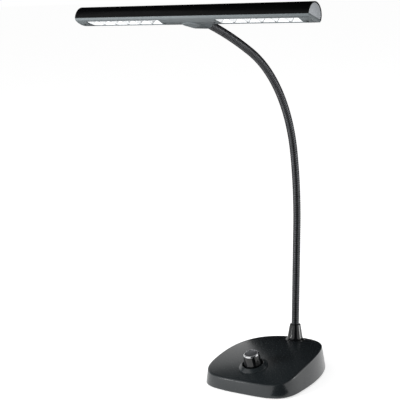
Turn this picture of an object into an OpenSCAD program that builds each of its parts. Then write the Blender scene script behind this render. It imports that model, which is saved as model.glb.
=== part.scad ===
// Piano lamp: wedge base with a dimmer knob, ribbed gooseneck and a long LED bar.
// Millimetres. Origin at the middle of the base, on the table. +X along the bar,
// -Y to the front (knob and bar), +Z up.

/* [Base] */
// half of the base's greatest width
base_half_width = 66; // [55:0.5:80]
// distance from the widest line to the rear tip
base_rear_length = 116; // [100:1:130]
// distance from the widest line to the front edge
base_front_length = 50; // [42:1:60]
// roundness of the rear outline (2 is an ellipse, more is squarer)
base_rear_round = 2.2; // [2:0.1:3]
// roundness of the front outline
base_front_round = 3.6; // [3:0.1:5]
// height of the crest of the top above the table
crest_height = 34.4; // [30:0.2:40]
// place of the crest ahead of the rear tip
crest_setback = 68.5; // [50:0.5:80]
// radius of the top's crown from front to rear
crown_long = 285; // [250:1:400]
// radius of the top's crown from side to side
crown_cross = 1000; // [600:10:2000]
// inward lean of the side walls, per millimetre of height
wall_draft = 0.12; // [0.1:0.01:0.3]
// rounding of the top edge
top_edge_round = 1.8; // [1.2:0.1:4]
// rounding of the bottom edge
foot_round = 1.5; // [0.8:0.1:2]
// wall of the base housing
base_wall = 2.6; // [2:0.1:3.2]
// thickness of the rubber mat that the base stands on
mat_thickness = 2; // [1.5:0.1:4]
// margin of the mat inside the base's outline
mat_margin = 5; // [3:0.5:10]
// thickness of the bottom cover
plate_thickness = 1.5; // [1:0.1:2.5]
// thickness of the ballast block
weight_thickness = 9; // [6:0.5:9.5]
// distance from the knob's axis to the ballast
weight_knob_gap = 22; // [20:0.5:26]
// distance from the base's rear tip to the ballast
weight_tip_gap = 30; // [28:0.5:36]
// radius of a base screw's shank
base_screw_radius = 1.5; // [1.2:0.1:2]

/* [Dimmer] */
// distance of the knob from the front edge
knob_setback = 35; // [30:0.5:38]
// radius of the knob where it is widest
knob_radius = 11.6; // [9:0.1:13]
// radius of the knob's flat top, inside the chamfer
knob_top_radius = 8.9; // [7:0.1:9.2]
// height of the knob's top above the base
knob_height = 18.4; // [13:0.2:22]
// gap under the knob
knob_lift = 1.4; // [1:0.1:2]
// height of the raised collar
collar_height = 4; // [2.5:0.1:5]
// width of the collar's sloped band
collar_band = 5.2; // [3:0.1:6]
// clear gap between knob and collar
collar_gap = 1.8; // [1:0.1:3]
// radius of the control shaft
shaft_radius = 3; // [2:0.1:3.5]
// turning clearance of the shaft in its bush
shaft_clearance = 0.06; // [0.03:0.01:0.1]

/* [Neck] */
// outer radius of the gooseneck over its ribs
neck_radius = 5; // [4.5:0.1:6]
// depth of the groove between ribs
rib_depth = 0.75; // [0.4:0.05:0.9]
// distance from rib to rib
rib_pitch = 3; // [2.8:0.1:4]
// wall of the gooseneck under the grooves
neck_wall = 0.95; // [0.8:0.05:1.2]
// distance of the neck's foot from the rear tip of the base
neck_setback = 26; // [22:0.5:34]
// backward lean of the neck at its foot
neck_lean = 5.9; // [0:0.1:10]
// length of the straight lower stretch
neck_straight = 151; // [130:0.5:170]
// length of the gentle stretch above it
neck_rise_length = 101; // [90:0.5:120]
// bend of the gentle stretch, in degrees
neck_rise_bend = 12.2; // [8:0.1:20]
// length of the crook
neck_crook_length = 175; // [150:0.5:200]
// bend of the crook, in degrees
neck_crook_bend = 54.7; // [40:0.1:65]
// length of the reach up to the head
neck_reach_length = 106.5; // [90:0.5:130]
// bend of the reach, in degrees
neck_reach_bend = 9.2; // [5:0.1:20]
// gap between two pieces of the neck where it flexes
flex_gap = 1.2; // [1:0.05:1.5]
// length of the neck from its foot to the first flexing point
flex_first = 48; // [40:1:60]
// length of the neck from the last flexing point to its end
flex_last = 38; // [30:1:45]

/* [Boot] */
// height of the boot
boot_height = 21.5; // [16:0.5:30]
// radius of the boot's top
boot_top_radius = 7.2; // [6.6:0.1:8.5]
// radius of the boot above its flared foot
boot_low_radius = 10.2; // [8.6:0.1:12]
// radius of the flared foot
boot_foot_radius = 12.8; // [12.2:0.1:14]
// running clearance of the neck in the boot and in the hub
neck_clearance = 0.15; // [0.1:0.05:0.3]

/* [Head] */
// length of the bar
head_length = 321; // [290:1:360]
// radius of the bar's domed cover
dome_radius = 14.5; // [13:0.1:17]
// height of the dome's centre above its lower edges
dome_centre = 2.1; // [1:0.1:3]
// wall of the domed cover
dome_wall = 1.3; // [1:0.1:2]
// depth of the tray's lips under the cover's edges
lip_depth = 2.4; // [1.6:0.1:3]
// inward slope of the tray's lips
lip_inset = 1.8; // [1:0.1:2.5]
// drop of the tray's rounded belly below its lips
belly_drop = 2.3; // [1.5:0.1:3]
// thickness of the tray
tray_wall = 1.4; // [1:0.1:1.8]
// thickness of an end cap
cap_thickness = 3; // [2:0.1:5]
// half of the bare middle between the two light windows
window_start = 38.5; // [32:0.5:50]
// cells of a reflector
cell_count = 6; // [3:1:8]
// distance from a window to the end of the bar
window_margin = 14; // [11:0.5:20]
// width of a window from front to rear
window_width = 16.5; // [12:0.5:18]
// offset of the windows towards the front edge
window_shift = 1.2; // [0:0.1:2]
// depth of a reflector cell
cell_depth = 6; // [4:0.5:7]
// width of the frame around the cells
cell_frame = 1.2; // [0.8:0.1:1.4]
// thickness of a light board
board_thickness = 1.2; // [0.8:0.1:1.6]

/* [Hub] */
// height of the neck's axis above the bar's lower edges
hub_axis_height = 4.6; // [4.4:0.1:6]
// distance from the bar's middle to the mouth of the neck socket
hub_reach = 36; // [30:0.5:45]
// depth of the neck socket
socket_depth = 9; // [7:0.5:12]
// wall of the neck socket
socket_wall = 0.7; // [0.6:0.1:1.6]
// half width of the hub under the bar
hub_half_width = 13; // [10:0.5:18]
// drop of the hub under the tray's belly
hub_drop = 0.9; // [0.5:0.1:2]

/* [Hidden] */
$fn = 48;

// colours of the plain model
satin_black = [0.13, 0.14, 0.14];
gloss_black = [0.03, 0.03, 0.03];
satin_grey = [0.42, 0.44, 0.45];
pale_grey = [0.66, 0.67, 0.69];
bright_metal = [0.85, 0.86, 0.87];
bare_steel = [0.55, 0.56, 0.57];
board_green = [0.10, 0.35, 0.20];
rubber_black = [0.05, 0.05, 0.05];
led_yellow = [0.95, 0.90, 0.60];

// places along the base, with the origin midway between front edge and rear tip
base_length = base_front_length + base_rear_length;
widest_y = base_front_length - base_length / 2;
crest_y = base_length / 2 - crest_setback;
knob_y = knob_setback - base_length / 2;
neck_y = base_length / 2 - neck_setback;
plate_top = mat_thickness + plate_thickness;

// height of the crowned top, and its slope from front to rear in degrees
function top_z(x, y) = crest_height - pow(y - crest_y, 2) / (2 * crown_long)
    - x * x / (2 * crown_cross);
function top_slope(y) = atan((crest_y - y) / crown_long);

// point of the base's outline at an angle, set in from the foot line
function plan_point(angle, inset) =
    let (
        c = cos(angle),
        s = sin(angle),
        reach = (s >= 0 ? base_rear_length : base_front_length) - inset,
        power = 2 / (s >= 0 ? base_rear_round : base_front_round)
    )
    [(base_half_width - inset) * sign(c) * pow(abs(c), power),
     widest_y + reach * sign(s) * pow(abs(s), power)];

// ring-by-ring skin: every ring has the same number of points, counter-clockwise
// seen from the end towards which the rings run
function skin_faces(rings, sides) =
    [for (i = [0:rings - 2], j = [0:sides - 1], half = [0, 1])
        let (k = (j + 1) % sides, low = i * sides, high = low + sides)
        half == 0 ? [low + j, high + j, high + k] : [low + j, high + k, low + k]];
function flatten(list) = [for (part = list, item = part) item];

// ---- base housing ----
plan_steps = 60;
plan_angles = [for (j = [0:plan_steps - 1]) 360 * j / plan_steps];
shrink_steps = [0.8, 0.55, 0.28];
round_steps = [0, 30, 60, 90];
foot_steps = [0, 45, 90];
draft_guess = 5;

// inset and height of the wall's top edge at an angle
function edge_rise(angle) =
    let (p = plan_point(angle, draft_guess)) top_z(p[0], p[1]) - mat_thickness;
// inset of the wall where the edge rounding starts
function edge_inset(angle) = wall_draft * (edge_rise(angle) - top_edge_round);

function wall_ring(inset, rise) =
    [for (a = plan_angles) let (p = plan_point(a, inset)) [p[0], p[1], mat_thickness + rise]];
function round_ring(turn, thickness) =
    [for (a = plan_angles)
        let (
            inner_round = max(0.4, top_edge_round - thickness),
            p = plan_point(a, edge_inset(a) + thickness + inner_round * (1 - cos(turn)))
        )
        [p[0], p[1], top_z(p[0], p[1]) - thickness - inner_round * (1 - sin(turn))]];
function shrunk_ring(share, thickness) =
    [for (q = round_ring(90, thickness))
        let (x = share * q[0], y = widest_y + share * (q[1] - widest_y))
        [x, y, top_z(x, y) - thickness]];
function crown_point(thickness) = [0, widest_y, top_z(0, widest_y) - thickness];

module housing_shell() {
    inner = concat([for (s = [2:-1:0]) shrunk_ring(shrink_steps[s], base_wall)],
                   [for (turn = [90, 0]) round_ring(turn, base_wall)],
                   [wall_ring(base_wall, 0)]);
    outer = concat([for (turn = foot_steps)
                       wall_ring(foot_round * (1 - sin(turn)), foot_round * (1 - cos(turn)))],
                   [for (turn = round_steps) round_ring(turn, 0)],
                   [for (share = shrink_steps) shrunk_ring(share, 0)]);
    // from the middle of the ceiling down the inside, and up the outside again
    rings = concat(inner, outer);
    points = concat(flatten(rings), [crown_point(base_wall), crown_point(0)]);
    last = (len(rings) - 1) * plan_steps;
    ceiling = len(points) - 2;
    faces = concat(
        skin_faces(len(rings), plan_steps),
        [for (j = [0:plan_steps - 1]) [j, (j + 1) % plan_steps, ceiling]],
        [for (j = [0:plan_steps - 1])
            [last + (j + 1) % plan_steps, last + j, ceiling + 1]]);
    polyhedron(points, faces);
}

// bosses for the bottom screws
boss_radius = 4;
boss_x = 47;
boss_front_gap = 22;
boss_rear_gap = 62;
boss_front_y = boss_front_gap - base_length / 2;
boss_rear_y = base_length / 2 - boss_rear_gap;
screw_hole_depth = 11;
boss_places = [for (x = [-boss_x, boss_x], y = [boss_front_y, boss_rear_y]) [x, y]];

module at_knob() {
    translate([0, knob_y, top_z(0, knob_y)]) rotate([top_slope(knob_y), 0, 0]) children();
}

module at_neck_foot() {
    translate([0, neck_y, top_z(0, neck_y)]) rotate([-neck_lean, 0, 0]) children();
}

// seats sunk into the top, and the openings cut through it
seat_depth = 0.7;
seat_gap = 0.05;
seat_room = 5;
opening_depth = 8;
opening_gap = 0.1;
bush_radius = shaft_radius + shaft_clearance + 1.4;
collar_radius = knob_radius + collar_gap + collar_band;
neck_sides = 8;
bore_radius = neck_radius - rib_depth - neck_wall;
stem_radius = bore_radius * cos(180 / neck_sides) - neck_clearance;
inlet_z = 12.5;
inlet_radius = 5.5;
inlet_cut = 14;

module base_housing() {
    color(satin_black)
    difference() {
        union() {
            housing_shell();
            for (p = boss_places)
                translate([p[0], p[1], plate_top])
                    cylinder(r = boss_radius, h = top_z(p[0], p[1]) - plate_top - base_wall / 2);
        }
        for (p = boss_places)
            translate([p[0], p[1], plate_top - 1])
                cylinder(r = base_screw_radius, h = screw_hole_depth);
        at_knob() {
            translate([0, 0, -seat_depth])
                cylinder(r = collar_radius + seat_gap, h = seat_room);
            translate([0, 0, -opening_depth])
                cylinder(r = bush_radius + opening_gap, h = opening_depth + 1);
        }
        at_neck_foot() {
            translate([0, 0, -seat_depth])
                cylinder(r = boot_foot_radius + seat_gap, h = seat_room);
            translate([0, 0, -opening_depth])
                cylinder(r = stem_radius + neck_clearance, h = opening_depth + 1);
        }
        translate([0, base_length / 2 - inlet_cut, inlet_z])
            rotate([-90, 0, 0]) cylinder(r = inlet_radius + opening_gap, h = inlet_cut + 1);
    }
}

// ---- bottom cover, ballast, screws and mat ----
plate_gap = 0.1;
screw_cone_radius = 2.9;
screw_cone_height = 1.3;
base_screw_length = 10;
plate_inset = base_wall + wall_draft * plate_thickness + plate_gap;

module plan_shape(inset) {
    polygon([for (a = plan_angles) plan_point(a, inset)]);
}

module base_plate() {
    color(satin_black)
    difference() {
        translate([0, 0, mat_thickness])
            linear_extrude(plate_thickness) plan_shape(plate_inset);
        for (p = boss_places)
            translate([p[0], p[1], mat_thickness]) {
                translate([0, 0, -1])
                    cylinder(r = base_screw_radius + opening_gap, h = plate_thickness + 2);
                translate([0, 0, -0.01])
                    cylinder(r1 = screw_cone_radius + opening_gap,
                             r2 = base_screw_radius + opening_gap, h = screw_cone_height);
            }
    }
}

// the ballast stays clear of the bosses, of the control and of the socket
weight_inset = 11.5;
weight_front_y = knob_y + weight_knob_gap;
weight_rear_y = base_length / 2 - weight_tip_gap;

module base_weight() {
    color(bare_steel)
    translate([0, 0, plate_top])
    linear_extrude(weight_thickness)
    difference() {
        intersection() {
            plan_shape(weight_inset);
            translate([-base_half_width, weight_front_y])
                square([2 * base_half_width, weight_rear_y - weight_front_y]);
        }
        for (p = boss_places) translate(p) circle(r = boss_radius + 1);
    }
}

module base_screws() {
    color(bare_steel)
    for (p = boss_places)
        translate([p[0], p[1], mat_thickness]) {
            cylinder(r1 = screw_cone_radius, r2 = base_screw_radius, h = screw_cone_height);
            cylinder(r = base_screw_radius, h = base_screw_length);
        }
}

module rubber_mat() {
    color(rubber_black)
    linear_extrude(mat_thickness)
    difference() {
        plan_shape(mat_margin);
        for (p = boss_places) translate(p) circle(r = boss_radius);
    }
}

// ---- dimmer ----
nut_height = 2;
nut_radius = bush_radius + 3;
collar_bore = bush_radius + 3.4;
knob_hollow = bush_radius + 3.6;
knob_web = 4;
control_radius = 8;
control_height = 9;
control_gap = 0.3;
bush_rise = 3;
collar_edge = 0.6;
shaft_socket = knob_height - 4;
shaft_drop = base_wall + 3.6;
shaft_room = 0.4;
collar_land = 1.2;

module knob_collar() {
    inner = knob_radius + collar_gap;
    color(satin_black)
    at_knob()
    rotate_extrude()
    polygon([[collar_bore, -seat_depth], [collar_radius, -seat_depth],
             [collar_radius, collar_edge], [inner + collar_land, collar_height],
             [inner, collar_height], [inner, 0], [collar_bore, 0]]);
}

module control_body() {
    color(bare_steel)
    at_knob()
    difference() {
        union() {
            translate([0, 0, -base_wall - control_height])
                cylinder(r = control_radius, h = control_height - control_gap);
            translate([0, 0, -base_wall - 1])
                cylinder(r = bush_radius, h = base_wall + 1 + bush_rise);
        }
        translate([0, 0, -shaft_drop - shaft_room])
            cylinder(r = shaft_radius + shaft_clearance, h = shaft_drop + shaft_room + 5);
    }
}

module control_nut() {
    color(bare_steel)
    at_knob()
    translate([0, 0, -seat_depth])
    difference() {
        cylinder(r = nut_radius, h = nut_height, $fn = 6);
        translate([0, 0, -1]) cylinder(r = bush_radius, h = nut_height + 2);
    }
}

module control_shaft() {
    color(bare_steel)
    at_knob()
    translate([0, 0, -shaft_drop]) cylinder(r = shaft_radius, h = shaft_drop + shaft_socket);
}

knob_side_top = knob_radius - 1.6;
chamfer_drop = 1.6;
ring_width = 1;

module dimmer_knob() {
    color(gloss_black)
    at_knob()
    rotate_extrude()
    polygon([[shaft_radius, knob_lift + knob_web], [knob_hollow, knob_lift + knob_web],
             [knob_hollow, knob_lift], [knob_radius, knob_lift],
             [knob_radius, knob_lift + 1], [knob_side_top, knob_height - chamfer_drop],
             [knob_top_radius - ring_width, knob_height - chamfer_drop],
             [knob_top_radius - ring_width, knob_height - 0.3], [0, knob_height - 0.3],
             [0, shaft_socket], [shaft_radius, shaft_socket]]);
}

module knob_ring() {
    color(bright_metal)
    at_knob()
    rotate_extrude()
    polygon([[knob_top_radius - ring_width, knob_height - chamfer_drop],
             [knob_side_top, knob_height - chamfer_drop],
             [knob_side_top, knob_height - chamfer_drop + 0.3],
             [knob_top_radius, knob_height], [knob_top_radius - ring_width, knob_height]]);
}

// ---- electrics in the base ----
driver_size = [36, 15, 1.6];
driver_x = -41;
coil_size = [8, 8, 6];
capacitor_radius = 3.5;
capacitor_height = 8;
chip_size = [7, 7, 4];

module driver_board() {
    color(board_green)
    translate([driver_x, knob_y - driver_size[1] / 2, plate_top]) {
        cube(driver_size);
        translate([4, 3, driver_size[2]]) cube(coil_size);
        translate([16, 7.5, driver_size[2]])
            cylinder(r = capacitor_radius, h = capacitor_height);
        translate([24, 4, driver_size[2]]) cube(chip_size);
    }
}

plug_depth = 10;
plug_bore_radius = 3.2;
contact_pin_radius = 1;
socket_body = [13, 9, 12];
flange_length = 6.5;
inlet_proud = 0.4;

module power_socket() {
    face_y = base_length / 2 - wall_draft * (inlet_z - mat_thickness) + inlet_proud;
    color(gloss_black)
    difference() {
        union() {
            translate([-socket_body[0] / 2, face_y - flange_length - socket_body[1],
                       inlet_z - socket_body[2] / 2])
                cube(socket_body);
            translate([0, face_y - flange_length - 1, inlet_z])
                rotate([-90, 0, 0]) cylinder(r = inlet_radius, h = flange_length + 1);
        }
        difference() {
            translate([0, face_y - plug_depth, inlet_z])
                rotate([-90, 0, 0]) cylinder(r = plug_bore_radius, h = plug_depth + 1);
            translate([0, face_y - plug_depth - 1, inlet_z])
                rotate([-90, 0, 0]) cylinder(r = contact_pin_radius, h = plug_depth - 1);
        }
    }
}

// ---- boot and the neck's fixing ----
module boot() {
    inner = neck_radius + neck_clearance;
    color(gloss_black)
    at_neck_foot()
    rotate_extrude()
    polygon([[inner, -seat_depth], [boot_foot_radius, -seat_depth], [boot_foot_radius, 0.4],
             [boot_foot_radius - 0.9, 1.3], [boot_low_radius + 0.6, 2.2],
             [boot_low_radius, 3.4], [boot_top_radius, boot_height - 0.6],
             [boot_top_radius - 0.6, boot_height], [inner + 0.7, boot_height],
             [inner, boot_height - 1]]);
}

stem_top = 16;
stem_drop = 9;
stem_bore = 1.8;
stem_nut_radius = 7.5;
stem_nut_height = 4;
flange_height = 1.5;

module neck_stem() {
    color(bare_steel)
    at_neck_foot()
    difference() {
        union() {
            translate([0, 0, -stem_drop]) cylinder(r = stem_radius, h = stem_drop + stem_top);
            translate([0, 0, -seat_depth]) cylinder(r = neck_radius, h = flange_height);
        }
        translate([0, 0, -stem_drop - 1]) cylinder(r = stem_bore, h = stem_drop + stem_top + 2);
    }
}

module stem_nut() {
    color(bare_steel)
    at_neck_foot()
    translate([0, 0, -stem_drop + 1])
    difference() {
        cylinder(r = stem_nut_radius, h = stem_nut_height, $fn = 6);
        translate([0, 0, -1]) cylinder(r = stem_radius, h = stem_nut_height + 2);
    }
}

// ---- gooseneck ----
// lengths and bends of the neck's stretches, from the foot to the head
neck_lengths = [neck_straight, neck_rise_length, neck_crook_length, neck_reach_length];
neck_bends = [0, neck_rise_bend, neck_crook_bend, neck_reach_bend];
neck_length = neck_straight + neck_rise_length + neck_crook_length + neck_reach_length;

// a state is [y, z, forward lean]; a stretch is an arc, or straight where its bend is 0
function after(state, length, bend) =
    bend == 0
    ? [state[0] - length * sin(state[2]), state[1] + length * cos(state[2]), state[2]]
    : let (radius = length * 180 / (PI * bend), lean = state[2] + bend)
      [state[0] + radius * (cos(lean) - cos(state[2])),
       state[1] + radius * (sin(lean) - sin(state[2])), lean];
function neck_state(s, i = 0, state = [neck_y, top_z(0, neck_y), -neck_lean]) =
    i == len(neck_lengths) - 1 || s <= neck_lengths[i]
    ? after(state, s, neck_bends[i] * s / neck_lengths[i])
    : neck_state(s - neck_lengths[i], i + 1, after(state, neck_lengths[i], neck_bends[i]));

flex_count = 11;
flex_pitch = (neck_length - flex_first - flex_last) / (flex_count - 1);
function flex_place(k) = flex_first + k * flex_pitch;

plug_radius = 2.5;
plug_bore = 1.2;
plug_length = 1.8;
plug_root = 2;

function neck_ring(s, radius) =
    let (state = neck_state(s), lean = state[2])
    [for (j = [0:neck_sides - 1])
        let (turn = 360 * (j + 0.5) / neck_sides, across = radius * sin(turn))
        [radius * cos(turn), state[0] + across * cos(lean), state[1] + across * sin(lean)]];

// ribbed tube from one place on the neck to another; a plug reaches into the next piece
module neck_tube(start, end, plug) {
    ribs = round((end - start) / rib_pitch);
    step = (end - start) / ribs;
    groove = neck_radius - rib_depth;
    bore_steps = 3;
    outside = concat([neck_ring(start, groove)],
        [for (i = [0:ribs - 1], half = [0.5, 1])
            neck_ring(start + (i + half) * step, half == 1 ? groove : neck_radius)]);
    plug_end = end + flex_gap / 2 + plug_length;
    tip = plug ? [neck_ring(end, plug_radius), neck_ring(plug_end, plug_radius),
                  neck_ring(plug_end, plug_bore), neck_ring(end - plug_root, plug_bore)] : [];
    bore_end = plug ? end - plug_root : end;
    inside = [for (i = [bore_steps:-1:0])
        neck_ring(start + (bore_end - start) * i / bore_steps, bore_radius)];
    rings = concat(outside, tip, inside);
    closed = concat(rings, [rings[0]]);
    count = len(rings) * neck_sides;
    faces = [for (f = skin_faces(len(closed), neck_sides)) [for (v = f) v % count]];
    color(satin_black) polyhedron(flatten(rings), faces);
}

// piece between two flexing points
module neck_piece(k) {
    neck_tube(flex_place(k - 1) + flex_gap / 2, flex_place(k) - flex_gap / 2, true);
}

module neck_01() {
    neck_tube(flange_height - seat_depth, flex_place(0) - flex_gap / 2, true);
}

module neck_02() { neck_piece(1); }
module neck_03() { neck_piece(2); }
module neck_04() { neck_piece(3); }
module neck_05() { neck_piece(4); }
module neck_06() { neck_piece(5); }
module neck_07() { neck_piece(6); }
module neck_08() { neck_piece(7); }
module neck_09() { neck_piece(8); }
module neck_10() { neck_piece(9); }
module neck_11() { neck_piece(10); }

module neck_12() {
    neck_tube(flex_place(flex_count - 1) + flex_gap / 2, neck_length, false);
}

// ---- head ----
// the bar lies level with the end of the neck; its own +Y points back along the neck
neck_end = neck_state(neck_length);
head_tilt = 90 - neck_end[2];
end_reach = hub_reach - socket_depth;

module at_head() {
    translate([0, neck_end[0], neck_end[1]])
        rotate([-head_tilt, 0, 0])
            translate([0, -end_reach, -hub_axis_height]) children();
}

// extrudes an outline drawn as [depth, height] along the bar, about its middle
module along_bar(length) {
    translate([-length / 2, 0, 0])
        rotate([90, 0, 90])
            linear_extrude(length) children();
}

edge_half = sqrt(dome_radius * dome_radius - dome_centre * dome_centre);
inner_dome = dome_radius - dome_wall;
inner_half = sqrt(inner_dome * inner_dome - dome_centre * dome_centre);

module dome_outline(radius) {
    intersection() {
        translate([0, dome_centre]) circle(r = radius, $fn = 96);
        translate([-2 * radius, 0]) square([4 * radius, 3 * radius]);
    }
}

cable_hole = 2.5;

module head_cover() {
    color(gloss_black)
    at_head()
    difference() {
        along_bar(head_length)
            difference() {
                dome_outline(dome_radius);
                dome_outline(inner_dome);
                translate([-inner_half, -1]) square([2 * inner_half, 2]);
            }
        translate([0, 0, hub_axis_height])
            rotate([-90, 0, 0]) cylinder(r = cable_hole, h = 2 * dome_radius);
    }
}

// the tray closes the cover from below, with a sloped lip on each side and a round belly
flat_half = edge_half - lip_inset;
tray_depth = lip_depth + belly_drop;
belly_radius = (flat_half * flat_half + belly_drop * belly_drop) / (2 * belly_drop);
end_wall = 2;
tray_gap = 0.1;

module tray_outline(grow) {
    polygon([[-edge_half - grow, 0], [-flat_half - grow, -lip_depth],
             [flat_half + grow, -lip_depth], [edge_half + grow, 0]]);
    intersection() {
        translate([0, belly_radius - tray_depth]) circle(r = belly_radius + grow, $fn = 128);
        translate([-flat_half - grow, -2 * tray_depth])
            square([2 * (flat_half + grow), 2 * tray_depth - lip_depth + 0.01]);
    }
}

module tray_hollow() {
    rim = inner_half - tray_gap;
    foot = flat_half - tray_wall;
    inner_belly = belly_radius - tray_wall;
    foot_drop = belly_radius - tray_depth - sqrt(inner_belly * inner_belly - foot * foot);
    polygon([[-rim, 1], [-rim, 0], [-foot, foot_drop], [foot, foot_drop], [rim, 0], [rim, 1]]);
    intersection() {
        translate([0, belly_radius - tray_depth]) circle(r = inner_belly, $fn = 128);
        translate([-foot, -tray_depth]) square([2 * foot, tray_depth]);
    }
}

window_length = head_length / 2 - window_start - window_margin;
cell_pitch = window_length / cell_count;
outer_screw_x = head_length / 2 - window_margin / 2;
inner_screw_x = window_start - 4.5;
tray_screw_x = [-outer_screw_x, -inner_screw_x, inner_screw_x, outer_screw_x];
screw_head_radius = 2;
screw_head_height = 1.4;
screw_sink = 0.4;
screw_shank_radius = 1.2;
screw_shank_length = 8;

module head_tray() {
    color(satin_grey)
    at_head()
    difference() {
        along_bar(head_length) tray_outline(0);
        along_bar(head_length - 2 * end_wall) tray_hollow();
        for (side = [-1, 1])
            translate([side * (window_start + window_length / 2), -window_shift, -tray_depth])
                cube([window_length, window_width, 2 * tray_depth], center = true);
        for (x = tray_screw_x)
            translate([x, 0, -tray_depth - 1])
                cylinder(r = screw_head_radius + tray_gap, h = tray_wall + 2);
    }
}

module tray_screws() {
    color(bare_steel)
    at_head()
    for (x = tray_screw_x)
        translate([x, 0, screw_sink - tray_depth]) {
            cylinder(r = screw_head_radius, h = screw_head_height);
            cylinder(r = screw_shank_radius, h = screw_shank_length);
        }
}

// the end caps stand a little inside the cover's ends and above its lower edges
cap_inset = 0.4;
cap_rise = 0.6;

module end_cap(side) {
    color(pale_grey)
    at_head()
    translate([side * (head_length / 2 - cap_inset - cap_thickness / 2), 0, 0])
    along_bar(cap_thickness)
    intersection() {
        dome_outline(inner_dome - tray_gap);
        translate([-inner_half, cap_rise]) square([2 * inner_half, 2 * dome_radius]);
    }
}

module end_cap_left() { end_cap(-1); }
module end_cap_right() { end_cap(1); }

// one reflector: a block with a tapered cell over each light
cell_mouth = [cell_pitch - cell_frame, window_width - 2 * cell_frame];
led_size = [3.4, 2.8, 0.7];
reflector_bottom = tray_wall - tray_depth + 0.05;

module cells_at(side) {
    for (i = [0:cell_count - 1])
        translate([side * (window_start + (i + 0.5) * cell_pitch), -window_shift, 0]) children();
}

module reflector(side) {
    color(bright_metal)
    at_head()
    difference() {
        intersection() {
            translate([side * (window_start + window_length / 2), -window_shift,
                       reflector_bottom + cell_depth / 2])
                cube([window_length + 2 * cell_frame, window_width + 2 * cell_frame, cell_depth],
                     center = true);
            along_bar(head_length)
                translate([0, belly_radius - tray_depth])
                    circle(r = belly_radius - tray_wall - 0.05, $fn = 128);
        }
        cells_at(side)
            translate([0, 0, reflector_bottom])
                hull() {
                    translate([0, 0, -0.05])
                        cube([cell_mouth[0], cell_mouth[1], 0.1], center = true);
                    translate([0, 0, cell_depth + 0.05])
                        cube([led_size[0] + 2, led_size[1] + 2, 0.1], center = true);
                }
    }
}

module reflector_left() { reflector(-1); }
module reflector_right() { reflector(1); }

board_bottom = reflector_bottom + cell_depth;

module light_board(side) {
    color(board_green)
    at_head()
    translate([side * (window_start + window_length / 2), -window_shift,
               board_bottom + board_thickness / 2])
        cube([window_length, window_width - 1, board_thickness], center = true);
}

module light_board_left() { light_board(-1); }
module light_board_right() { light_board(1); }

module leds(side) {
    color(led_yellow)
    at_head()
    cells_at(side)
        translate([0, 0, board_bottom - led_size[2] / 2]) cube(led_size, center = true);
}

module leds_left() { leds(-1); }
module leds_right() { leds(1); }

// the hub wraps the bar's rear lower edge and holds the end of the neck: it is drawn
// over the socket's mouth, a round saddle behind the bar and an oval foot under it
saddle_y = 12;
saddle_z = 2;
saddle_radius = 9.5;
foot_y = 4;
foot_half_depth = 8;

module head_hub() {
    mouth_radius = neck_radius + neck_clearance + socket_wall;
    color(satin_grey)
    at_head()
    difference() {
        hull() {
            translate([0, hub_reach, hub_axis_height])
                rotate([90, 0, 0]) cylinder(r = mouth_radius, h = 1, $fn = 32);
            translate([0, saddle_y, saddle_z])
                rotate([90, 0, 0]) cylinder(r = saddle_radius, h = 1, $fn = 32);
            translate([0, foot_y, -tray_depth - hub_drop])
                scale([hub_half_width, foot_half_depth, 1])
                    cylinder(r = 1, h = hub_drop + 0.5, $fn = 32);
        }
        along_bar(4 * hub_half_width) {
            translate([0, dome_centre]) circle(r = dome_radius + seat_gap, $fn = 96);
            translate([-edge_half, -0.5]) square([2 * edge_half, 1]);
            tray_outline(seat_gap);
        }
        translate([0, end_reach, hub_axis_height])
            rotate([-90, 0, 0]) cylinder(r = neck_radius + neck_clearance, h = socket_depth + 2);
        translate([0, 0, hub_axis_height])
            rotate([-90, 0, 0]) cylinder(r = cable_hole, h = end_reach + 1);
    }
}

base_housing();
base_plate();
base_weight();
base_screws();
rubber_mat();
knob_collar();
control_body();
control_nut();
control_shaft();
dimmer_knob();
knob_ring();
driver_board();
power_socket();
boot();
neck_stem();
stem_nut();
neck_01();
neck_02();
neck_03();
neck_04();
neck_05();
neck_06();
neck_07();
neck_08();
neck_09();
neck_10();
neck_11();
neck_12();
head_hub();
head_cover();
head_tray();
end_cap_left();
end_cap_right();
reflector_left();
reflector_right();
light_board_left();
light_board_right();
leds_left();
leds_right();
tray_screws();
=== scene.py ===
import math

import bmesh
import bpy
import numpy as np
from mathutils import Matrix, Vector


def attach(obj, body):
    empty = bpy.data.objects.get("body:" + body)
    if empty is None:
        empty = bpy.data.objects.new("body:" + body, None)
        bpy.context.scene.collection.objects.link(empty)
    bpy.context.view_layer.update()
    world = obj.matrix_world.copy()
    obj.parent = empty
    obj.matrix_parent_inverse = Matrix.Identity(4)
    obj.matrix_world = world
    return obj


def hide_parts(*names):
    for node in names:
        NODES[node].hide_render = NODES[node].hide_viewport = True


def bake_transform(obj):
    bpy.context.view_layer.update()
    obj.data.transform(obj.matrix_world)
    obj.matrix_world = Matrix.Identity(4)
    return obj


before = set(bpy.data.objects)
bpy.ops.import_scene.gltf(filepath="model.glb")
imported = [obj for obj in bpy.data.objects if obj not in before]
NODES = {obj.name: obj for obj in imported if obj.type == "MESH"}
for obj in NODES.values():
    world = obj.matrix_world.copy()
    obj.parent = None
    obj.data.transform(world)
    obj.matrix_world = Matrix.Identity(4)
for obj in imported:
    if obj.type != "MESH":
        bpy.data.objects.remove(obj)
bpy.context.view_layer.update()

MM = 0.001
bpy.context.scene.view_settings.view_transform = "Standard"

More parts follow.
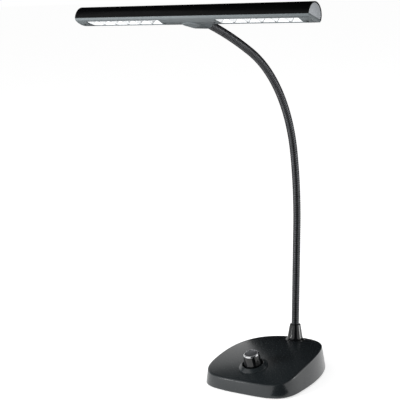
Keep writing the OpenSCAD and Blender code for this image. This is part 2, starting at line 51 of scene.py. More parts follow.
# ---- sizes, as the solids have them ----
BASE_HALF_WIDTH = 66
BASE_REAR, BASE_FRONT = 116, 50
REAR_ROUND, FRONT_ROUND = 2.2, 3.6
CREST_HEIGHT, CREST_SETBACK = 34.4, 68.5
CROWN_LONG, CROWN_CROSS = 285, 1000
WALL_DRAFT, TOP_ROUND, FOOT_ROUND, BASE_WALL, MAT = 0.12, 1.8, 1.5, 2.6, 2
BASE_LENGTH = BASE_REAR + BASE_FRONT
WIDEST_Y = BASE_FRONT - BASE_LENGTH / 2
CREST_Y = BASE_LENGTH / 2 - CREST_SETBACK
KNOB_SETBACK, NECK_SETBACK = 35, 26
KNOB_Y = KNOB_SETBACK - BASE_LENGTH / 2
NECK_Y = BASE_LENGTH / 2 - NECK_SETBACK
KNOB_TILT = math.atan((CREST_Y - KNOB_Y) / CROWN_LONG)
SEAT = 0.7  # how deep the collar and the boot are let into the crown
BUSH_RADIUS, SHAFT_RADIUS, STEM_HOLE_RADIUS = 4.46, 3, 3.05
HOLE_ROOM, HOLE_LOW, HOLE_HIGH = 0.1, -9, 6
INLET_Z, INLET_RADIUS, INLET_DEPTH = 12.5, 5.5, 14

KNOB_RADIUS, KNOB_TOP, KNOB_HEIGHT, KNOB_LIFT = 11.6, 8.9, 18.4, 1.4
COLLAR_INNER, COLLAR_RADIUS, COLLAR_HEIGHT = 13.4, 18.6, 4

NECK_RADIUS, RIB_DEPTH, RIB_PITCH = 5, 0.75, 3
NECK_LEAN = 5.9
NECK_LENGTHS = (151, 101, 175, 106.5)
NECK_BENDS = (0, 12.2, 54.7, 9.2)
NECK_LENGTH = sum(NECK_LENGTHS)
FLEX_FIRST, FLEX_LAST, FLEX_COUNT = 48, 38, 11
FLEX_PITCH = (NECK_LENGTH - FLEX_FIRST - FLEX_LAST) / (FLEX_COUNT - 1)
COIL_START, COIL_SIDES, RINGS_PER_TURN = 0.8, 40, 10
WIRE_FLATNESS = 1.7  # 1 is a round wire, and more is flatter

HEAD_LENGTH = 321
DOME_RADIUS, DOME_CENTRE, DOME_WALL = 14.5, 2.1, 1.3
EDGE_HALF = math.sqrt(DOME_RADIUS**2 - DOME_CENTRE**2)
INNER_DOME = DOME_RADIUS - DOME_WALL
INNER_HALF = math.sqrt(INNER_DOME**2 - DOME_CENTRE**2)
LIP_DEPTH, LIP_INSET, BELLY_DROP, TRAY_WALL = 2.4, 1.8, 2.3, 1.4
FLAT_HALF = EDGE_HALF - LIP_INSET
TRAY_DEPTH = LIP_DEPTH + BELLY_DROP
BELLY_RADIUS = (FLAT_HALF**2 + BELLY_DROP**2) / (2 * BELLY_DROP)
CAP_THICKNESS, CAP_INSET, CAP_RISE = 3, 0.4, 0.6
WINDOW_START, WINDOW_MARGIN = 38.5, 14
WINDOW_WIDTH, WINDOW_SHIFT = 16.5, 1.2
WINDOW_LENGTH = HEAD_LENGTH / 2 - WINDOW_START - WINDOW_MARGIN
TRAY_SCREW_X = [-(HEAD_LENGTH - WINDOW_MARGIN) / 2, -(WINDOW_START - 4.5), WINDOW_START - 4.5,
                (HEAD_LENGTH - WINDOW_MARGIN) / 2]
SCREW_HOLE_RADIUS, SCREW_HOLE_DEPTH = 2.1, 2.4
CELL_COUNT, CELL_DEPTH = 6, 6
BELLY_STEPS = 28
CELL_PITCH = WINDOW_LENGTH / CELL_COUNT
REFLECTOR_BOTTOM = TRAY_WALL - TRAY_DEPTH + 0.05
HUB_AXIS, HUB_REACH, SOCKET_DEPTH = 4.6, 36, 9
HUB_HALF_WIDTH, HUB_DROP = 13, 0.9


# ---- materials ----
def linear(hex_colour):
    """An sRGB hex colour as linear red, green, blue and alpha."""
    parts = [int(hex_colour[i : i + 2], 16) / 255 for i in (1, 3, 5)]
    return (*[p / 12.92 if p <= 0.04045 else ((p + 0.055) / 1.055) ** 2.4 for p in parts], 1)


def add(tree, kind, inputs=(), **settings):
    """A new node with its settings, its values and the sockets or whole nodes that feed it."""
    node = tree.nodes.new(kind)
    for name, value in settings.items():
        setattr(node, name, value)
    for name, value in dict(inputs).items():
        if isinstance(value, bpy.types.Node):
            value = value.outputs[0]
        if isinstance(value, bpy.types.NodeSocket):
            tree.links.new(value, node.inputs[name])
        else:
            node.inputs[name].default_value = value
    return node


def bare_tree(owner):
    """The node tree of a material or a world, emptied."""
    owner.use_nodes = True
    owner.node_tree.nodes.clear()
    return owner.node_tree


def finish(name, colour, roughness, metallic=0.0, ior=1.5, specular=0.5):
    """A material's start: its node tree, its shader and the place on the piece."""
    material = bpy.data.materials.new(name)
    material.use_nodes = True
    tree = material.node_tree
    shader = tree.nodes["Principled BSDF"]
    shader.inputs["Base Color"].default_value = linear(colour)
    shader.inputs["Roughness"].default_value = roughness
    shader.inputs["Metallic"].default_value = metallic
    shader.inputs["IOR"].default_value = ior
    shader.inputs["Specular IOR Level"].default_value = specular
    place = add(tree, "ShaderNodeTexCoord").outputs["Object"]
    return material, tree, shader, place


def mottle(tree, shader, place, size, dark, light):
    """Lets the colour drift between two close shades over patches of that size in mm."""
    patches = add(tree, "ShaderNodeTexNoise", {
        "Vector": place, "Scale": 1 / (size * MM), "Detail": 3})
    shade = add(tree, "ShaderNodeMix", {
        0: patches.outputs["Fac"], 6: linear(dark), 7: linear(light)}, data_type="RGBA")
    tree.links.new(shade.outputs[2], shader.inputs["Base Color"])


def sheen_spread(tree, shader, place, size, low, high):
    """Lets the roughness drift between two values over patches of that size in mm."""
    patches = add(tree, "ShaderNodeTexNoise", {
        "Vector": place, "Scale": 1 / (size * MM), "Detail": 4})
    spread = add(tree, "ShaderNodeMapRange", {
        "Value": patches.outputs["Fac"], "From Min": 0.3, "From Max": 0.7, "To Min": low,
        "To Max": high})
    tree.links.new(spread.outputs["Result"], shader.inputs["Roughness"])


def grain(tree, shader, place, size, height):
    """Raises a fine grain of that size and height in mm."""
    grains = add(tree, "ShaderNodeTexNoise", {
        "Vector": place, "Scale": 1 / (size * MM), "Detail": 2})
    bump = add(tree, "ShaderNodeBump", {
        "Height": grains.outputs["Fac"], "Distance": height * MM, "Strength": 1})
    tree.links.new(bump.outputs["Normal"], shader.inputs["Normal"])


def surface(name, colour, roughness, mottled=None, sheen=None, grained=None, **typical):
    """A material with up to three patterns: in its colour, its roughness and its skin."""
    material, tree, shader, place = finish(name, colour, roughness, **typical)
    for pattern, values in ((mottle, mottled), (sheen_spread, sheen), (grain, grained)):
        if values:
            pattern(tree, shader, place, *values)
    return material


# moulded ABS with a fine spark-eroded skin: a soft, even sheen that never mirrors.
# The real grain is about 0.05 mm; it is drawn at 0.5 mm so that it shows.
HOUSING_BLACK = surface("satin_black_moulded_abs", "#1c2022", 0.24, ior=1.53,
    mottled=(22, "#1a1e20", "#1f2325"), sheen=(1.2, 0.2, 0.28), grained=(0.5, 0.008))

# polished ABS from a mirror-finished mould: deep black with the faint waviness
# of sink marks, about 9 mm from crest to crest, and a little dust haze
GLOSS_BLACK = surface("gloss_black_polished_abs", "#090a0b", 0.12, ior=1.5, sheen=(3, 0.09, 0.15),
    grained=(9, 0.01))

# the end caps are painted a paler grey, with a trace of metal and a mottle from spraying
CAP_GREY = surface("satin_pale_grey_paint", "#9da1a5", 0.45, metallic=0.2,
    mottled=(3, "#989ca0", "#a2a6aa"), sheen=(2, 0.38, 0.5), grained=(0.5, 0.008))

# the gooseneck is wound from flattened steel wire plated in black nickel: dark metal
# whose turns each catch a sharp light, a little duller in patches
COIL_NICKEL = surface("black_nickel_plated_coil", "#404143", 0.2, metallic=1.0,
    mottled=(6, "#3b3c3e", "#464749"), sheen=(0.8, 0.18, 0.32))

# diamond-turned chamfer: bright bare metal, its fine turning marks a slight haze
BRIGHT_ALUMINIUM = surface("polished_aluminium_chamfer", "#e3e4e6", 0.14, metallic=1.0,
    sheen=(0.5, 0.1, 0.2))

# moulded rubber: dull, slightly dusty, with a fine pebbled skin
RUBBER = surface("matt_black_rubber", "#17181a", 0.85, mottled=(9, "#141517", "#1c1d1f"),
    grained=(0.8, 0.05))

# powder coat on sheet steel: a low gloss with orange peel about 1 mm across
PAINTED_STEEL = surface("black_powder_coated_steel", "#1b1c1e", 0.55, sheen=(4, 0.48, 0.6),
    grained=(1.0, 0.03))

# bright zinc plating: pale blue-grey metal, a little cloudy
ZINC = surface("zinc_plated_steel", "#b9bdc2", 0.3, metallic=1.0, mottled=(3, "#aeb3b9", "#c2c6ca"),
    sheen=(1.5, 0.24, 0.38))

# sand-cast ballast: dark, rough and grainy, grains about 0.6 mm
CAST_IRON = surface("raw_cast_iron", "#4d4b49", 0.62, metallic=0.9,
    mottled=(4, "#444240", "#57534f"), grained=(0.6, 0.08))

# solder resist over glass laminate: green and glossy, with the weave just showing
GREEN_BOARD = surface("green_circuit_board", "#1d5a38", 0.32, mottled=(2.5, "#1a5233", "#20623d"),
    sheen=(1, 0.26, 0.38))

# white solder resist on an aluminium board
WHITE_BOARD = surface("white_light_board", "#dfe1e0", 0.4, mottled=(4, "#d9dbda", "#e4e6e5"),
    sheen=(2, 0.35, 0.46))

# unfilled nylon of the power socket: black with a dull gleam
SOCKET_NYLON = surface("black_nylon_socket", "#141516", 0.42, sheen=(1.5, 0.36, 0.48),
    grained=(0.4, 0.01))

# vacuum-metallised plastic: a mirror with a slight orange peel about 1.5 mm across
REFLECTOR = surface("metallised_reflector", "#e8eaec", 0.2, metallic=1.0, sheen=(2, 0.16, 0.26),
    grained=(1.5, 0.02))

# a pale moulded body round a pool of yellow phosphor gel
LED = surface("led_phosphor", "#efe6b8", 0.3, mottled=(0.8, "#ebdf9f", "#f4efd2"),
    sheen=(0.6, 0.24, 0.36))

# blackened steel screws: near black, faintly oily, worn grey on high spots
SCREW_STEEL = surface("black_oxide_steel", "#2a2b2d", 0.38, metallic=1.0,
    mottled=(0.7, "#232426", "#343538"), sheen=(0.6, 0.3, 0.46))


def satin_black_cover():
    # the long cover is an extruded black profile with a satin skin and fine die lines
    # along it, about 0.4 mm apart, that draw highlights out lengthwise
    material, tree, shader, place = finish("satin_black_extruded_cover", "#050506", 0.26, ior=1.4,
                                           specular=0.12)
    stretched = add(tree, "ShaderNodeMapping", {"Vector": place, "Scale": (0.01, 1, 1)})
    lines = add(tree, "ShaderNodeTexNoise", {
        "Vector": stretched.outputs["Vector"], "Scale": 1 / (0.4 * MM), "Detail": 2})
    bump = add(tree, "ShaderNodeBump", {"Height": lines.outputs["Fac"], "Distance": 0.004 * MM})
    tree.links.new(bump.outputs["Normal"], shader.inputs["Normal"])
    sheen_spread(tree, shader, place, 8, 0.26, 0.34)
    return material


def silver_grey_paint():
    # sprayed grey paint on the moulded tray: fine flakes, paler and darker than the coat
    # round them, under a satin clear coat. Flakes of 0.05 mm are drawn at 0.35 mm so that
    # they show as a soft grain.
    material, tree, shader, place = finish("satin_silver_grey_paint", "#666c6f", 0.36,
                                           specular=0.25)
    flakes = add(tree, "ShaderNodeTexVoronoi", {"Vector": place, "Scale": 1 / (0.35 * MM)})
    tone = add(tree, "ShaderNodeMapRange", {
        "Value": flakes.outputs["Distance"], "To Min": 0.0, "To Max": 1.0})
    shade = add(tree, "ShaderNodeMix", {
        0: tone.outputs["Result"], 6: linear("#6c7275"), 7: linear("#616769")}, data_type="RGBA")
    tree.links.new(shade.outputs[2], shader.inputs["Base Color"])
    sheen_spread(tree, shader, place, 5, 0.34, 0.44)
    grain(tree, shader, place, 0.6, 0.006)
    return material


def spun_disc():
    # the knob's top is spun aluminium under dark anodising: fine rings about 0.15 mm
    # apart, drawn at 0.4 mm, that fan the light out across the disc
    material, tree, shader, place = finish("spun_dark_anodised_disc", "#5a5c5f", 0.34, metallic=0.8)
    centre = Matrix.Rotation(-KNOB_TILT, 3, "X") @ Vector((0, KNOB_Y * MM, top_z(0, KNOB_Y) * MM))
    centred = add(tree, "ShaderNodeMapping", {
        "Vector": place, "Rotation": (-KNOB_TILT, 0, 0), "Location": -centre})
    flat = add(tree, "ShaderNodeVectorMath", {
        0: centred.outputs["Vector"], 1: (1, 1, 0)}, operation="MULTIPLY")
    radius = add(tree, "ShaderNodeVectorMath", {0: flat.outputs["Vector"]}, operation="LENGTH")
    rings = add(tree, "ShaderNodeTexNoise", {
        "W": radius.outputs["Value"], "Scale": 1 / (0.4 * MM), "Detail": 3}, noise_dimensions="1D")
    spread = add(tree, "ShaderNodeMapRange", {
        "Value": rings.outputs["Fac"], "From Min": 0.3, "From Max": 0.7, "To Min": 0.26,
        "To Max": 0.42})
    bump = add(tree, "ShaderNodeBump", {"Height": rings.outputs["Fac"], "Distance": 0.012 * MM})
    tree.links.new(spread.outputs["Result"], shader.inputs["Roughness"])
    tree.links.new(bump.outputs["Normal"], shader.inputs["Normal"])
    return material


# ---- making pieces ----
def shape(name, points, faces, material, crease=32):
    """A piece from points in mm: shaded smooth, with edges sharper than crease kept."""
    mesh = bpy.data.meshes.new(name)
    mesh.from_pydata([tuple(float(c) * MM for c in p) for p in points], [], faces)
    bm = bmesh.new()
    bm.from_mesh(mesh)
    bmesh.ops.remove_doubles(bm, verts=bm.verts, dist=1e-7)
    bmesh.ops.dissolve_degenerate(bm, edges=bm.edges, dist=1e-7)
    bmesh.ops.recalc_face_normals(bm, faces=bm.faces)
    bm.to_mesh(mesh)
    bm.free()
    return shaded(link(name, mesh), material, crease)


def link(name, mesh):
    """An object for the mesh, in the scene."""
    piece = bpy.data.objects.new(name, mesh)
    bpy.context.scene.collection.objects.link(piece)
    return piece


def shaded(piece, material, crease=32):
    """Gives a piece its material and smooth shading up to the crease angle."""
    mesh = piece.data
    mesh.materials.clear()
    mesh.materials.append(material)
    mesh.polygons.foreach_set("use_smooth", [True] * len(mesh.polygons))
    mesh.set_sharp_from_angle(angle=math.radians(crease))
    return piece


def settle(piece):
    """Turns a piece's modifiers into its plain mesh."""
    evaluated = piece.evaluated_get(bpy.context.evaluated_depsgraph_get())
    mesh = bpy.data.meshes.new_from_object(evaluated)
    piece.modifiers.clear()
    old = piece.data
    piece.data = mesh
    mesh.name = piece.name
    bpy.data.meshes.remove(old)
    return piece


def cut(piece, *tools):
    """Cuts the tools out of a piece and removes them."""
    for tool in tools:
        step = piece.modifiers.new("cut", "BOOLEAN")
        step.operation, step.solver, step.object = "DIFFERENCE", "EXACT", tool
    settle(piece)
    for tool in tools:
        mesh = tool.data
        bpy.data.objects.remove(tool)
        bpy.data.meshes.remove(mesh)
    return piece


def ease_edges(piece, width, angle=30, segments=3):
    """Breaks a piece's sharp edges with small rounded bevels of that width in mm."""
    step = piece.modifiers.new("eased", "BEVEL")
    step.width, step.segments, step.angle_limit = width * MM, segments, math.radians(angle)
    step.limit_method, step.use_clamp_overlap, step.harden_normals = "ANGLE", True, False
    return settle(piece)


def ringed(rings, closed=False):
    """Points and faces of a skin over rings with equal numbers of points."""
    rings = [np.asarray(r, float) for r in rings]
    sides, count = len(rings[0]), len(rings)
    points = np.vstack(rings)
    faces = []
    for i in range(count if closed else count - 1):
        low, high = i * sides, (i + 1) % count * sides
        faces += [(low + j, low + (j + 1) % sides, high + (j + 1) % sides, high + j)
                  for j in range(sides)]
    if not closed:
        faces += [tuple(range(sides)), tuple(range((count - 1) * sides, count * sides))]
    return points, faces


def rounded(corners, radii, steps=5):
    """A closed outline with its corners rounded; radii are one number or one per corner."""
    corners = [np.array(c, float) for c in corners]
    if not isinstance(radii, (list, tuple)):
        radii = [radii] * len(corners)
    outline, nearly_straight = [], 1.55
    for i, (corner, radius) in enumerate(zip(corners, radii)):
        before, after = corners[i - 1] - corner, corners[(i + 1) % len(corners)] - corner
        room = 0.48 * min(np.linalg.norm(before), np.linalg.norm(after))
        before, after = before / np.linalg.norm(before), after / np.linalg.norm(after)
        half = math.acos(float(np.clip(before @ after, -1, 1))) / 2
        if radius <= 0 or half > nearly_straight:
            outline.append(corner)
            continue
        reach = min(radius / math.tan(half), room)
        radius = reach * math.tan(half)
        inward = (before + after) / np.linalg.norm(before + after)
        middle = corner + inward * radius / math.sin(half)
        start, end = corner + before * reach - middle, corner + after * reach - middle
        for k in range(steps + 1):
            mix = (start * math.sin((1 - k / steps) * (math.pi / 2 - half) * 2)
                   + end * math.sin(k / steps * (math.pi / 2 - half) * 2))
            outline.append(middle + mix / math.sin((math.pi / 2 - half) * 2))
    return outline


def turned(outline, sides):
    """Points and faces of a closed outline of [radius, height] turned about the axis."""
    turns = [2 * math.pi * j / sides for j in range(sides)]
    return ringed([[(max(r, 0) * math.cos(t), max(r, 0) * math.sin(t), z) for t in turns]
                   for r, z in outline], closed=True)


def spun(name, outline, place, material, sides=128):
    """A closed outline of [radius, height] turned about the axis of a place."""
    points, faces = turned(outline, sides)
    piece = shape(name, points, faces, material)
    piece.data.transform(place)
    return piece


def rod(name, radius, low, high, place, material, sides):
    """A plain cylinder between two heights on the axis of a place."""
    outline = [(0, low), (radius, low), (radius, high), (0, high)]
    return spun(name, outline, place, material, sides)


def along_bar(name, outline, length, material):
    """A closed outline of [depth, height] drawn out along the bar, about its middle."""
    rings = [[(x, u, w) for u, w in outline] for x in (-length / 2, length / 2)]
    points, faces = ringed(rings)
    piece = shape(name, points, faces, material)
    piece.data.transform(AT_HEAD)
    return piece


# ---- places ----
def moved(x, y, z):
    """A shift in mm."""
    return Matrix.Translation((x * MM, y * MM, z * MM))


def top_z(x, y):
    """Height of the base's crowned top."""
    return CREST_HEIGHT - (y - CREST_Y) ** 2 / (2 * CROWN_LONG) - x * x / (2 * CROWN_CROSS)


def stretch_end(state, length, bend):
    """Where the neck's centre line is, [y, z, lean in degrees], after a stretch."""
    y, z, lean = state
    if bend == 0:
        return (y - length * math.sin(math.radians(lean)),
                z + length * math.cos(math.radians(lean)), lean)
    radius, new = length * 180 / (math.pi * bend), lean + bend
    return (y + radius * (math.cos(math.radians(new)) - math.cos(math.radians(lean))),
            z + radius * (math.sin(math.radians(new)) - math.sin(math.radians(lean))), new)


def neck_state(s):
    """The same at a distance along the neck from its foot."""
    state = (NECK_Y, top_z(0, NECK_Y), -NECK_LEAN)
    for i, (length, bend) in enumerate(zip(NECK_LENGTHS, NECK_BENDS)):
        if s <= length or i == len(NECK_LENGTHS) - 1:
            return stretch_end(state, s, bend * s / length)
        state, s = stretch_end(state, length, bend), s - length


def neck_point(s):
    """The centre line's place there."""
    y, z, _ = neck_state(s)
    return (0, y, z)


NECK_END = neck_state(NECK_LENGTH)
AT_KNOB = moved(0, KNOB_Y, top_z(0, KNOB_Y)) @ Matrix.Rotation(KNOB_TILT, 4, "X")
AT_NECK_FOOT = (moved(0, NECK_Y, top_z(0, NECK_Y))
                @ Matrix.Rotation(-math.radians(NECK_LEAN), 4, "X"))
AT_HEAD = (moved(0, NECK_END[0], NECK_END[1])
           @ Matrix.Rotation(-math.radians(90 - NECK_END[2]), 4, "X")
           @ moved(0, SOCKET_DEPTH - HUB_REACH, -HUB_AXIS))


# ---- camera, lights and floor; their sizes are in metres ----
CAMERA_PLACE = (0.781, -1.245, 0.536)
CAMERA_TURN, CAMERA_PITCH, CAMERA_ROLL = 35.39, 11.47, -3.06
FOCAL_PIXELS, PICTURE_PIXELS, SENSOR_WIDTH = 1180, 400, 36
FLOOR_HALF = 12


def set_camera():
    """The camera stands in front, to the right and above, as in the photograph."""
    turn, pitch, roll = (math.radians(a) for a in (CAMERA_TURN, CAMERA_PITCH, CAMERA_ROLL))
    ahead = Vector((-math.sin(turn) * math.cos(pitch), math.cos(turn) * math.cos(pitch),
                    -math.sin(pitch)))
    level = Vector((math.cos(turn), math.sin(turn), 0))
    above = level.cross(ahead)
    right = math.cos(roll) * level + math.sin(roll) * above
    up = math.cos(roll) * above - math.sin(roll) * level
    data = bpy.data.cameras.new("camera")
    data.sensor_width, data.lens = SENSOR_WIDTH, SENSOR_WIDTH * FOCAL_PIXELS / PICTURE_PIXELS
    data.clip_start, data.clip_end = 0.05, 50
    camera = bpy.data.objects.new("camera", data)
    camera.matrix_world = (Matrix.Translation(CAMERA_PLACE)
                           @ Matrix((right, up, -ahead)).transposed().to_4x4())
    bpy.context.scene.collection.objects.link(camera)
    bpy.context.scene.camera = camera


def soft_light(name, place, target, width, height, strength):
    """A rectangular softbox that faces its target; its strength is in watts."""
    data = bpy.data.lights.new(name, "AREA")
    data.shape, data.size, data.size_y, data.energy = "RECTANGLE", width, height, strength
    light = bpy.data.objects.new(name, data)
    light.location = place
    light.rotation_mode = "QUATERNION"
    light.rotation_quaternion = (Vector(target) - Vector(place)).to_track_quat("-Z", "Y")
    bpy.context.scene.collection.objects.link(light)
    return light


def seen_or_mirrored(tree, path):
    """1 for rays of the camera and of gloss, and 0 for the rest."""
    return add(tree, "ShaderNodeMath", {
        0: path.outputs["Is Camera Ray"], 1: path.outputs["Is Glossy Ray"]}, operation="MAXIMUM")


def pale_surround():
    """White to the camera and in reflections, and a gentle even light on all else."""
    world = bpy.data.worlds.new("pale_surround")
    bpy.context.scene.world = world
    tree = bare_tree(world)
    path = add(tree, "ShaderNodeLightPath")
    seen = seen_or_mirrored(tree, path)
    seen = add(tree, "ShaderNodeMath", {
        0: seen, 1: path.outputs["Is Transmission Ray"]}, operation="MAXIMUM")
    even = add(tree, "ShaderNodeBackground", {"Color": (1, 1, 1, 1), "Strength": 0.45})
    white = add(tree, "ShaderNodeBackground", {"Color": (1, 1, 1, 1), "Strength": 1})
    mix = add(tree, "ShaderNodeMixShader", {0: seen, 1: even, 2: white})
    add(tree, "ShaderNodeOutputWorld", {"Surface": mix})


def pale_floor():
    """A plain floor: white with the lamp's soft shadow when seen, grey as a source of light."""
    material = bpy.data.materials.new("plain_pale_floor")
    tree = bare_tree(material)
    path = add(tree, "ShaderNodeLightPath")
    grey = add(tree, "ShaderNodeBsdfDiffuse", {"Color": (0.34, 0.34, 0.34, 1)})
    white = add(tree, "ShaderNodeBsdfDiffuse", {"Color": (0.8, 0.8, 0.8, 1)})
    glow = add(tree, "ShaderNodeEmission", {"Color": (1, 1, 1, 1), "Strength": 0.62})
    lit = add(tree, "ShaderNodeAddShader", {0: white, 1: glow})
    seen = seen_or_mirrored(tree, path)
    mix = add(tree, "ShaderNodeMixShader", {0: seen, 1: grey, 2: lit})
    add(tree, "ShaderNodeOutputMaterial", {"Surface": mix})
    mesh = bpy.data.meshes.new("floor")
    mesh.from_pydata([(x * FLOOR_HALF, y * FLOOR_HALF, 0)
                      for x, y in ((-1, -1), (1, -1), (1, 1), (-1, 1))], [], [(0, 1, 2, 3)])
    mesh.materials.append(material)
    link("floor", mesh)


def dark_flag(name, corners):
    """A black studio card: it only shows in gloss, where it keeps the pale surround out."""
    if "unlit_card" not in bpy.data.materials:
        material = bpy.data.materials.new("unlit_card")
        tree = bare_tree(material)
        black = add(tree, "ShaderNodeEmission", {"Color": linear("#151618"), "Strength": 1})
        add(tree, "ShaderNodeOutputMaterial", {"Surface": black})
    mesh = bpy.data.meshes.new(name)
    mesh.from_pydata(corners, [], [(0, 1, 2, 3)])
    mesh.materials.append(bpy.data.materials["unlit_card"])
    card = link(name, mesh)
    card.visible_camera = card.visible_diffuse = card.visible_shadow = False
    card.visible_transmission = False


def seen_from_camera(ahead, aside, height):
    """A place that far behind the lamp and to its right, about as the camera looks."""
    return Vector((-0.6, 0.8, 0)) * ahead + Vector((0.8, 0.6, 0)) * aside + Vector((0, 0, height))


def upright_card(name, ahead, left, right, low, high):
    """A dark flag that stands square to the camera's view."""
    dark_flag(name, [seen_from_camera(ahead, aside, height)
                     for aside, height in ((left, low), (right, low), (right, high), (left, high))])


def level_card(name, height, corners):
    """A dark flag that lies level, its corners given as (ahead, aside)."""
    dark_flag(name, [seen_from_camera(ahead, aside, height) for ahead, aside in corners])


# ---- base ----
def plan_point(angle, inset):
    """A point of the base's outline, that far inside its edge."""
    c, s = math.cos(angle), math.sin(angle)
    reach, power = ((BASE_REAR - inset, 2 / REAR_ROUND) if s >= 0
                    else (BASE_FRONT - inset, 2 / FRONT_ROUND))
    return (math.copysign((BASE_HALF_WIDTH - inset) * abs(c) ** power, c),
            WIDEST_Y + math.copysign(reach * abs(s) ** power, s))


def housing_rings(thickness, angles, turns, shares):
    """Rings of the housing's skin at a depth under its surface, from its foot to its crown."""
    least_round, edge_sample = 0.4, 5
    inner_round = max(least_round, TOP_ROUND - thickness)

    def edge_inset(a):
        return WALL_DRAFT * (top_z(*plan_point(a, edge_sample)) - MAT - TOP_ROUND)

    def round_point(a, turn):
        x, y = plan_point(a, edge_inset(a) + thickness + inner_round * (1 - math.cos(turn)))
        return x, y, top_z(x, y) - thickness - inner_round * (1 - math.sin(turn))

    rings = [[(*plan_point(a, thickness), MAT) for a in angles]]
    if thickness == 0:
        rings = [[(*plan_point(a, FOOT_ROUND * (1 - math.sin(t))),
                   MAT + FOOT_ROUND * (1 - math.cos(t))) for a in angles] for t in turns[::2]]
    rings += [[round_point(a, turn) for a in angles] for turn in turns]
    for share in shares:
        ring = []
        for a in angles:
            x, y, _ = round_point(a, math.pi / 2)
            x, y = share * x, WIDEST_Y + share * (y - WIDEST_Y)
            ring.append((x, y, top_z(x, y) - thickness))
        rings.append(ring)
    return rings


def make_housing(material):
    sides, round_steps = 288, 8
    angles = [2 * math.pi * (j + 0.5) / sides for j in range(sides)]
    turns = [math.pi / 2 * i / round_steps for i in range(round_steps + 1)]
    # rings of the crown as shares of its edge, from the edge to the middle
    shares = [0.985, 0.96, 0.92, 0.87, 0.8, 0.72, 0.64, 0.56, 0.48, 0.4, 0.32, 0.24, 0.16, 0.08,
              0]
    outer = housing_rings(0, angles, turns, shares)
    inner = housing_rings(BASE_WALL, angles, turns[::4], shares[::2])
    points, faces = ringed(inner[::-1] + outer)
    faces = faces[:-2]  # both skins end in a point, so their end faces go
    housing = shape("base_housing_shell", points, faces, material, crease=40)
    knob_hole = rod("knob_hole", BUSH_RADIUS + HOLE_ROOM, HOLE_LOW, HOLE_HIGH, AT_KNOB,
                    material, 48)
    neck_hole = rod("neck_hole", STEM_HOLE_RADIUS, HOLE_LOW, HOLE_HIGH, AT_NECK_FOOT,
                    material, 48)
    inlet_place = moved(0, BASE_LENGTH / 2 - INLET_DEPTH, INLET_Z) @ Matrix.Rotation(
        -math.pi / 2, 4, "X")
    inlet_hole = rod("inlet_hole", INLET_RADIUS + HOLE_ROOM, 0, INLET_DEPTH + HOLE_HIGH,
                     inlet_place, material, 64)
    cut(housing, knob_hole, neck_hole, inlet_hole)
    shaded(housing, material, crease=40)
    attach(housing, "base")
    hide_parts("base_housing")


def make_collar(material):
    eye, rim, land = BUSH_RADIUS + 3.4, 0.6, 1.2
    outline = rounded([(eye, -SEAT), (COLLAR_RADIUS, -SEAT), (COLLAR_RADIUS, rim),
                       (COLLAR_INNER + land, COLLAR_HEIGHT), (COLLAR_INNER, COLLAR_HEIGHT),
                       (COLLAR_INNER, 0), (eye, 0)], [0, 0, 0.35, 0.5, 0.3, 0.4, 0])
    collar = spun("knob_collar_ring", outline, AT_KNOB, material)
    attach(collar, "base")
    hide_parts("knob_collar")


def make_knob(body_finish, disc_finish, ring_finish):
    hollow, hollow_top, skirt_top = 8.06, KNOB_LIFT + 4, KNOB_LIFT + 1
    side_top, chamfer_low = KNOB_RADIUS - 1.6, KNOB_HEIGHT - 1.6
    inside, disc_seat, disc_face = KNOB_TOP - 1, KNOB_HEIGHT - 1, KNOB_HEIGHT - 0.3
    outline = rounded([(SHAFT_RADIUS, hollow_top), (hollow, hollow_top), (hollow, KNOB_LIFT),
                       (KNOB_RADIUS, KNOB_LIFT), (KNOB_RADIUS, skirt_top), (side_top, chamfer_low),
                       (inside, chamfer_low), (inside, disc_seat), (SHAFT_RADIUS, disc_seat)],
                      [0, 0.3, 0.2, 0.35, 0.5, 0.05, 0, 0, 0])
    knob = spun("knob_body", outline, AT_KNOB, body_finish)
    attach(knob, "knob")
    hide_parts("dimmer_knob")
    disc_outline = rounded([(0, KNOB_HEIGHT - 4), (SHAFT_RADIUS, KNOB_HEIGHT - 4),
                            (SHAFT_RADIUS, disc_seat), (inside, disc_seat), (inside, disc_face),
                            (0, disc_face)], [0, 0, 0, 0, 0.12, 0])
    disc = spun("knob_top_disc", disc_outline, AT_KNOB, disc_finish)
    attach(disc, "knob")
    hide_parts("dimmer_knob")
    ring_outline = rounded([(inside, chamfer_low), (side_top, chamfer_low),
                            (side_top, chamfer_low + 0.3), (KNOB_TOP, KNOB_HEIGHT),
                            (inside, KNOB_HEIGHT)], [0, 0.05, 0.12, 0.15, 0.1])
    ring = spun("knob_chamfer_ring", ring_outline, AT_KNOB, ring_finish)
    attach(ring, "knob")
    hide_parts("knob_ring")


def make_boot(material):
    inner, foot, low, top, height = 5.15, 12.8, 10.2, 7.2, 21.5
    outline = rounded([(inner, -SEAT), (foot, -SEAT), (foot, 0.4), (foot - 0.9, 1.3),
                       (low + 0.6, 2.2), (low, 3.4), (top, height - 0.6), (top - 0.6, height),
                       (inner + 0.7, height), (inner, height - 1)],
                      [0, 0, 0.4, 0.6, 1.2, 1.5, 0.6, 0.4, 0.3, 0.5])
    boot = spun("neck_boot", outline, AT_NECK_FOOT, material)
    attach(boot, "base")
    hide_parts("boot")


# ---- repeated pieces ----
def node_group(name, sizes):
    """A geometry tree with one input for each named size, and its input node."""
    tree = bpy.data.node_groups.new(name, "GeometryNodeTree")
    tree.interface.new_socket("Geometry", in_out="INPUT", socket_type="NodeSocketGeometry")
    for size, kind in sizes:
        tree.interface.new_socket(size, in_out="INPUT", socket_type="NodeSocket" + kind)
    tree.interface.new_socket("Geometry", in_out="OUTPUT", socket_type="NodeSocketGeometry")
    return tree, add(tree, "NodeGroupInput")


